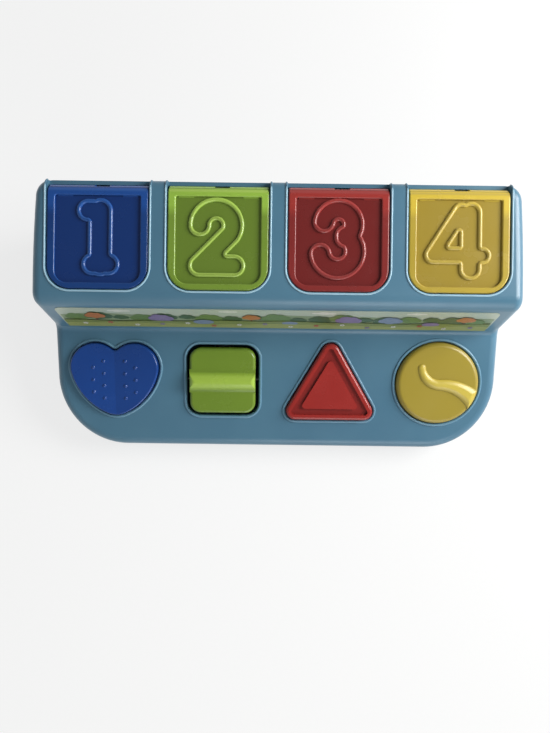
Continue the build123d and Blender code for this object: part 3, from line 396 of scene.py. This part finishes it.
# What is printed, from back to front, in mm across from the middle and up from the strip's lower edge
landscape = {
    "clouds": ((-96, 25.4, 3.4), (-30, 25.8, 2.8), (28, 25.2, 3.6), (84, 25.8, 3.0)),   # across, up, size
    "puffs": ((-1.3, 0.6), (0.0, 1.0), (1.3, 0.7)),   # offset and size, as shares of the cloud's size
    "puffShape": (1.2, 0.55),
    "farHill": (19.0, ((1.8, 21.0, 0.4), (1.0, 9.0, 1.2))),   # height, then waves of size, length and phase
    "hedge": {"count": 19, "start": -124, "step": 13.7, "up": 15.4, "upWave": (1.6, 1.7),
              "size": 5.0, "sizeWave": (1.5, 2.3), "lightEvery": 3},
    "accents": (("autumn", -112, 4.4), ("heather", -72, 4.8), ("autumn", -16, 4.0), ("heather", 44, 5.0),
                ("stone", 70, 4.6), ("autumn", 116, 4.2)),   # ink, across, size
    "treeUp": 11.5, "bushUp": 15.0, "bushShare": 1.15,
    "grass": (11.5, ((1.0, 26.0, 2.0), (0.5, 7.0, 0.3))),
    "mounds": (("stone", -46, 10.0, 6.5), ("stone", 8, 9.4, 5.0), ("heather", 96, 10.2, 5.5)),
    "moundFlatness": 0.55,
    "lightGrass": (7.0, ((0.9, 17.0, 1.0), (0.4, 5.0, 2.2))),
    "flowers": {"count": 16, "start": -121, "step": 16.2, "up": 6.0, "upWave": (2.2, 2.1), "size": 1.05,
                "inks": ("petal", "poppy", "petal", "heather")},
}
bushLobes = ((-0.8, 0.0, 0.62), (0.8, -0.05, 0.66), (-0.3, 0.45, 0.7), (0.4, 0.4, 0.62), (0.0, -0.1, 0.8))
treeShape = {"trunkHalf": 0.16, "trunkTaper": 0.7, "trunkTall": 1.3, "crownUp": 1.5}   # shares of its size
flowerShape = {"petals": 5, "petalSize": 0.62}

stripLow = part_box("riser_strip")[0]
stripLean = math.atan2(strip["riserBackMm"], strip["riserRiseMm"])
stripUp = Vector((0, math.sin(stripLean), math.cos(stripLean)))
stripOut = Vector((0, -math.cos(stripLean), math.sin(stripLean)))
stripFoot = Vector((0, stripLow.y, stripLow.z + strip["thicknessMm"] * mm * math.sin(stripLean)))
printMesh = bmesh.new()


# One flat printed shape, a step further out than the one before
def printShape(ink, corners):
    lift = stripOut * ((len(printMesh.faces) + 1) * strip["stepMm"] * mm)
    points = [stripFoot + Vector((x * mm, 0, 0)) + stripUp * (y * mm) + lift for x, y in corners]
    face = printMesh.faces.new([printMesh.verts.new(p) for p in points])
    face.material_index = inkOrder.index(ink)


def printRound(ink, x, y, wide, high):
    turns = [i * 2 * math.pi / strip["roundSides"] for i in range(strip["roundSides"])]
    printShape(ink, [(x + wide * math.cos(t), y + high * math.sin(t)) for t in turns])


# A band with a rolling top edge, from the strip's lower edge up
def printBand(ink):
    base, waves = landscape[ink]
    half = strip["widthMm"] / 2 - strip["marginMm"]
    foot = strip["marginMm"] / 2
    top = []
    for i in range(strip["bandSteps"] + 1):
        x = half - i * 2 * half / strip["bandSteps"]
        top.append((x, base + sum(size * math.sin(x / length + phase) for size, length, phase in waves)))
    printShape(ink, [(-half, foot), (half, foot)] + top)


def printBush(ink, x, y, size):
    for dx, dy, part in bushLobes:
        printRound(ink, x + dx * size, y + dy * size, part * size, part * size)


def printTree(ink, x, y, size):
    half = size * treeShape["trunkHalf"]
    slim = half * treeShape["trunkTaper"]
    top = y + size * treeShape["trunkTall"]
    printShape("bark", [(x - half, y), (x + half, y), (x + slim, top), (x - slim, top)])
    printBush(ink, x, y + size * treeShape["crownUp"], size)


def printFlower(ink, x, y, size):
    petal = size * flowerShape["petalSize"]
    for i in range(flowerShape["petals"]):
        turn = i * 2 * math.pi / flowerShape["petals"]
        printRound(ink, x + size * math.cos(turn), y + size * math.sin(turn), petal, petal)


# A height or size that varies along a row; the wave says how much and how fast
def varied(middle, wave, i):
    return middle + wave[0] * math.sin(i * wave[1])


puffWide, puffHigh = landscape["puffShape"]
for x, y, size in landscape["clouds"]:
    for dx, part in landscape["puffs"]:
        printRound("cloud", x + dx * size, y, size * part * puffWide, size * part * puffHigh)
printBand("farHill")
hedge = landscape["hedge"]
for i in range(hedge["count"]):
    printBush("bush" if i % hedge["lightEvery"] else "lightBush", hedge["start"] + i * hedge["step"],
              varied(hedge["up"], hedge["upWave"], i), varied(hedge["size"], hedge["sizeWave"], i))
for ink, x, size in landscape["accents"]:
    if ink == "autumn":
        printTree(ink, x, landscape["treeUp"], size)
    else:
        printBush(ink, x, landscape["bushUp"], size * landscape["bushShare"])
printBand("grass")
for ink, x, y, wide in landscape["mounds"]:
    printRound(ink, x, y, wide, wide * landscape["moundFlatness"])
printBand("lightGrass")
flowers = landscape["flowers"]
for i in range(flowers["count"]):
    printFlower(flowers["inks"][i % len(flowers["inks"])], flowers["start"] + i * flowers["step"],
                varied(flowers["up"], flowers["upWave"], i), flowers["size"])
print("strip printed,", len(printMesh.faces), "shapes")
stripPrint = addPiece("strip_print", printMesh, [inkMaterials[name] for name in inkOrder])
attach(stripPrint, "body")

# Figures: moulded vinyl, sprayed through masks, so colours end in soft edges; places in mm on each figure,
# and a patch that lies to one side is sprayed on both
figures = {1: "zebra_figure", 2: "lion_figure", 3: "elephant_figure", 4: "hippo_figure"}
coatNames = {1: "vinylSprayedStriped", 2: "vinylSprayedTan", 3: "vinylSprayedGrey", 4: "vinylSprayedMauve"}
eyePlaces = {1: (4.4, 31.0, 19.2), 2: (4.4, 30.5, 19.5), 3: (5.2, 30.5, 18.9), 4: (4.8, 32.5, 18.2)}
vinyl = {"flowMm": 12, "flowAmount": 0.8, "grainMm": 0.6, "grainStrength": 0.08, "grainDepthMm": 0.04,
         "roughness": 0.38, "rubMm": 7, "rubSpread": 0.05, "ior": 1.53}
zebra = dict(vinyl, colour="#e4e3dd", shade="#d9d8d1", patches=(
    {"at": (0, 19, 21), "radius": 7.6, "colour": "#3a383b", "edge": 1.5},   # muzzle
    {"at": (10.4, 38, 10.0), "radius": 2.6, "colour": "#b98f8a", "edge": 0.8},   # ears
    {"at": eyePlaces[1], "radius": 3.2, "colour": "#2f2e32", "edge": 0.9},   # rims round the eyes
    {"at": (0, 38.5, 6), "radius": 5.5, "colour": "#29282b", "edge": 0.6, "stretch": (0.55, 1, 1)},   # mane
))
stripes = {"colour": "#2a2a2e", "spacingMm": 5.712, "distortion": 3.0, "detail": 1.0, "detailScale": 0.12,
           "darkFrom": (0.56, 0.64)}
lion = dict(vinyl, colour="#d59f4a", shade="#cb9340", patches=(
    {"at": (0, 4, 12), "radius": 11.0, "colour": "#e2bd7c", "edge": 2.0},   # belly
    {"at": (2.8, 21.6, 20), "radius": 5.0, "colour": "#ecd8ae", "edge": 1.2},   # muzzle
    {"at": (0, 25.2, 22), "radius": 2.9, "colour": "#4a2f25", "edge": 0.5},   # nose
))
mane = {"colour": "#8a4f25", "middle": (0, 26, 0), "fromMm": (11.6, 12.6), "tuftMm": 2.0, "tuftDetail": 3.0,
        "tuftReach": 2.0}
elephant = dict(vinyl, colour="#8796ab", shade="#7d8ca2", patches=(
    {"at": (15.6, 28, 8.4), "radius": 7.0, "colour": "#b98f98", "edge": 1.4, "stretch": (1, 1, 0.4)},   # ears
    {"at": (5.4, 22, 17), "radius": 2.6, "colour": "#a08c9c", "edge": 1.6},   # cheeks
    {"at": (0, 9, 25), "radius": 3.2, "colour": "#74829a", "edge": 1.2},   # end of the trunk
))
hippo = dict(vinyl, colour="#8f7a9d", shade="#867194", patches=(
    {"at": (0, 20, 18), "radius": 10.0, "colour": "#a893b3", "edge": 2.2,
     "stretch": (1.25, 0.9, 1)},   # muzzle
    {"at": (4.0, 28.0, 22.4), "radius": 1.5, "colour": "#4c3d55", "edge": 0.5},   # nostrils
    {"at": (8.8, 36.8, 11.6), "radius": 1.9, "colour": "#b58fa6", "edge": 0.6},   # ears
))
coats = {1: zebra, 2: lion, 3: elephant, 4: hippo}
figureSeat = {"rise": 9.0, "lidThickness": 3.2, "rollRadius": 6.4}


# Where a figure stands: x across, y up to its head, z out of the lid, in mm as in the part's source
def figureFrame(n):
    slope = upperDeck["slope"]
    out = Vector((0, math.sin(slope), -math.cos(slope)))
    up = Vector((0, -math.cos(slope), -math.sin(slope)))
    lift = (figureSeat["rollRadius"] - figureSeat["lidThickness"]) * mm
    foot = hinges[n] - out * lift + up * (figureSeat["rise"] * mm)
    seat = Matrix.Identity(4)
    for column, axis in enumerate((Vector((1, 0, 0)), up, out)):
        for row in range(3):
            seat[row][column] = axis[row]
    seat.translation = foot
    return seat


def zebraStripes(tree, local, colour):
    scale = 2 * math.pi / (20 * stripes["spacingMm"])   # the node's waves run at 20 radians per unit
    bands = addNode(tree, "ShaderNodeTexWave", {
        "Vector": local, "Scale": scale, "Distortion": stripes["distortion"],
        "Detail": stripes["detail"], "Detail Scale": stripes["detailScale"]}, bands_direction="Y")
    mask = addNode(tree, "ShaderNodeMapRange", {
        "Value": bands.outputs[1], "From Min": stripes["darkFrom"][0], "From Max": stripes["darkFrom"][1]})
    return addNode(tree, "ShaderNodeMix", {
        0: mask.outputs[0], 6: colour, 7: linearColour(stripes["colour"])}, data_type="RGBA").outputs[2]


# Everything further from the middle of the face than a wavy ring
def lionMane(tree, local, colour):
    away = addNode(tree, "ShaderNodeVectorMath", {0: local, 1: mane["middle"]}, operation="SUBTRACT")
    flat = addNode(tree, "ShaderNodeVectorMath", {0: away.outputs[0], 1: (1, 1, 0)}, operation="MULTIPLY")
    reach = addNode(tree, "ShaderNodeVectorMath", {0: flat.outputs[0]}, operation="LENGTH")
    tuft = addNode(tree, "ShaderNodeTexNoise", {
        "Vector": local, "Scale": 1 / mane["tuftMm"], "Detail": mane["tuftDetail"]})
    wavy = addNode(tree, "ShaderNodeMath", {
        0: tuft.outputs[0], 1: mane["tuftReach"], 2: reach.outputs["Value"]}, operation="MULTIPLY_ADD")
    ring = addNode(tree, "ShaderNodeMapRange", {
        "Value": wavy.outputs[0], "From Min": mane["fromMm"][0], "From Max": mane["fromMm"][1]})
    return addNode(tree, "ShaderNodeMix", {
        0: ring.outputs[0], 6: colour, 7: linearColour(mane["colour"])}, data_type="RGBA").outputs[2]


# A sprayed patch: full inside the ball less its edge, gone outside it; stretch widens the ball
def sprayPatch(tree, local, colour, middle, patch):
    shift = addNode(tree, "ShaderNodeVectorMath", {0: local, 1: middle}, operation="SUBTRACT")
    shape = addNode(tree, "ShaderNodeVectorMath", {
        0: shift.outputs[0], 1: patch.get("stretch", (1, 1, 1))}, operation="DIVIDE")
    reach = addNode(tree, "ShaderNodeVectorMath", {0: shape.outputs[0]}, operation="LENGTH")
    mask = addNode(tree, "ShaderNodeMapRange", {
        "Value": reach.outputs["Value"], "To Min": 1.0, "To Max": 0.0,
        "From Min": patch["radius"] - patch["edge"], "From Max": patch["radius"]})
    return addNode(tree, "ShaderNodeMix", {
        0: mask.outputs[0], 6: colour, 7: linearColour(patch["colour"])}, data_type="RGBA").outputs[2]


coatPatterns = {1: zebraStripes, 2: lionMane}


def figurePaint(n):
    def paint(tree, place, colour):
        toFigure = figureFrame(n).inverted()
        local = addNode(tree, "ShaderNodeMapping", {
            "Vector": place, "Location": toFigure.translation * mmPerMetre,
            "Rotation": toFigure.to_euler("XYZ"), "Scale": (mmPerMetre,) * 3}).outputs[0]
        if n in coatPatterns:
            colour = coatPatterns[n](tree, local, colour)
        for patch in coats[n]["patches"]:
            x, y, z = patch["at"]
            for side in (-1, 1) if x else (1,):
                colour = sprayPatch(tree, local, colour, (side * x, y, z), patch)
        return colour
    return paint


for n in stations:
    dress([figures[n]], mouldedPlastic(coatNames[n], coats[n], figurePaint(n)))
print("figures painted")

# Eyes: pressed-in domes of glossy acrylic, pale with a dark middle; sizes in mm
eyes = {"radius": 2.3, "pupil": 0.62, "rise": 0.55, "sunk": 0.4, "sides": 24, "rings": 8,
        "headMiddle": (0, 27, 10)}
eyeWhite = dict(vinyl, colour="#e9e8e2", shade="#dedcd4", roughness=0.15, grainStrength=0.03)
eyeDark = dict(vinyl, colour="#1d1c1f", shade="#262428", roughness=0.12, grainStrength=0.03)
eyeMaterials = [mouldedPlastic("acrylicPolishedWhite", eyeWhite),
                mouldedPlastic("acrylicPolishedDark", eyeDark)]


# A dome lying on the head, from rings that close at its crown
def eyeDome(mesh, middle, outward):
    across = outward.orthogonal().normalized()
    along = outward.cross(across)
    angles = [k * 2 * math.pi / eyes["sides"] for k in range(eyes["sides"])]
    rings = []
    for i in range(eyes["rings"] + 1):
        turn = i / eyes["rings"] * math.pi / 2
        wide = eyes["radius"] * math.cos(turn)
        high = eyes["rise"] * eyes["radius"] * math.sin(turn) - eyes["sunk"]
        centre = middle + outward * high
        spokes = [across * math.cos(a) + along * math.sin(a) for a in angles]
        points = [centre + spoke * wide for spoke in spokes] if i < eyes["rings"] else [centre]
        rings.append([mesh.verts.new(point * mm) for point in points])
    for i, (low, top) in enumerate(zip(rings, rings[1:])):
        dark = math.cos((i + 0.5) / eyes["rings"] * math.pi / 2) < eyes["pupil"]
        for face in joinRings(mesh, low, top):
            face.material_index = 1 if dark else 0
            face.smooth = True


for n in stations:
    mesh = bmesh.new()
    x, y, z = eyePlaces[n]
    for side in (-1, 1):
        spot = Vector((side * x, y, z))
        eyeDome(mesh, spot, (spot - Vector(eyes["headMiddle"])).normalized())
    bmesh.ops.transform(mesh, matrix=figureFrame(n), verts=mesh.verts)
    bmesh.ops.recalc_face_normals(mesh, faces=mesh.faces)
    pair = addPiece(figures[n].replace("figure", "eyes"), mesh, eyeMaterials)
    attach(pair, "lid_%d_with_figure" % n)
print("eyes set")

# Camera, from the photograph: nearly straight above the front deck, with a short lens
cameraSet = {"place": (-0.001, -0.0665, 0.429), "elevation": 84.16, "rollDegrees": 0.74, "focalPixels": 600,
             "tallPixels": 733, "sensorMm": 36, "nearEnd": 0.01}
camera = addObject("camera", bpy.data.cameras.new("camera"))
camera.data.sensor_width = cameraSet["sensorMm"]
camera.data.lens = cameraSet["focalPixels"] * cameraSet["sensorMm"] / cameraSet["tallPixels"]
camera.data.clip_start = cameraSet["nearEnd"]
nod = Matrix.Rotation(math.radians(90 - cameraSet["elevation"]), 4, "X")
roll = Matrix.Rotation(math.radians(cameraSet["rollDegrees"]), 4, "Z")
camera.matrix_world = Matrix.Translation(cameraSet["place"]) @ nod @ roll
bpy.context.scene.camera = camera

# Floor: matte card, nearly white, so shadows on it are soft and pale
floorSet = {"size": 8.0, "colour": "#f3f3f1", "shade": "#ecece9", "fleckMm": 3.0, "fleckDetail": 4.0,
            "roughness": 0.9, "whiteShare": 0.75}
card, tree = newMaterial("cardMatte")
place = addNode(tree, "ShaderNodeTexCoord").outputs["Object"]
fleck = addNode(tree, "ShaderNodeTexNoise", {
    "Vector": place, "Scale": mmPerMetre / floorSet["fleckMm"], "Detail": floorSet["fleckDetail"]})
colour = addNode(tree, "ShaderNodeMix", {
    0: fleck.outputs[0], 6: linearColour(floorSet["colour"]), 7: linearColour(floorSet["shade"])},
    data_type="RGBA")
shader = addNode(tree, "ShaderNodeBsdfPrincipled", {
    "Base Color": colour.outputs[2], "Roughness": floorSet["roughness"]})
path = addNode(tree, "ShaderNodeLightPath")   # seen straight or mirrored, the card is part white
seen = addNode(tree, "ShaderNodeMath", {
    0: path.outputs["Is Camera Ray"], 1: path.outputs["Is Glossy Ray"]}, operation="MAXIMUM")
share = addNode(tree, "ShaderNodeMath", {
    0: seen.outputs[0], 1: floorSet["whiteShare"]}, operation="MULTIPLY")
glow = addNode(tree, "ShaderNodeEmission", {"Color": (1, 1, 1, 1), "Strength": 1.0})
both = addNode(tree, "ShaderNodeMixShader", {0: share.outputs[0], 1: shader.outputs[0], 2: glow.outputs[0]})
addNode(tree, "ShaderNodeOutputMaterial", {"Surface": both.outputs[0]})
bpy.ops.mesh.primitive_plane_add(size=floorSet["size"])
floor = bpy.context.object
floor.name = "floor"
floor.data.materials.append(card)

# Studio light: a soft key on the right, a low fill in front, pale walls and a dim ceiling
lampSet = {
    "key": {"place": (0.60, 0.12, 0.46), "size": 0.40, "watts": 6.6},
    "fill": {"place": (0.25, -1.10, 0.42), "size": 0.70, "watts": 4.0},
}
for name, lamp in lampSet.items():
    light = bpy.data.lights.new(name, "AREA")
    light.size = lamp["size"]
    light.energy = lamp["watts"]
    holder = addObject(name, light)
    holder.location = lamp["place"]
    holder.rotation_euler = (-Vector(lamp["place"])).to_track_quat("-Z", "Y").to_euler()
room = {"colour": "#eef1f4", "walls": 0.52, "ceiling": 0.16, "fade": (0.35, 0.85)}   # fade: walls to ceiling
world = bpy.data.worlds.new("room")
bpy.context.scene.world = world
world.use_nodes = True
tree = world.node_tree
tree.nodes.clear()
way = addNode(tree, "ShaderNodeTexCoord").outputs["Generated"]
height = addNode(tree, "ShaderNodeSeparateXYZ", {0: way})
level = addNode(tree, "ShaderNodeMapRange", {
    "Value": height.outputs["Z"], "From Min": room["fade"][0], "From Max": room["fade"][1],
    "To Min": room["walls"], "To Max": room["ceiling"]})
sky = addNode(tree, "ShaderNodeBackground", {
    "Color": linearColour(room["colour"]), "Strength": level.outputs[0]})
addNode(tree, "ShaderNodeOutputWorld", {"Surface": sky.outputs[0]})
bpy.context.scene.view_settings.view_transform = "Standard"
print("camera, floor and lamps set")
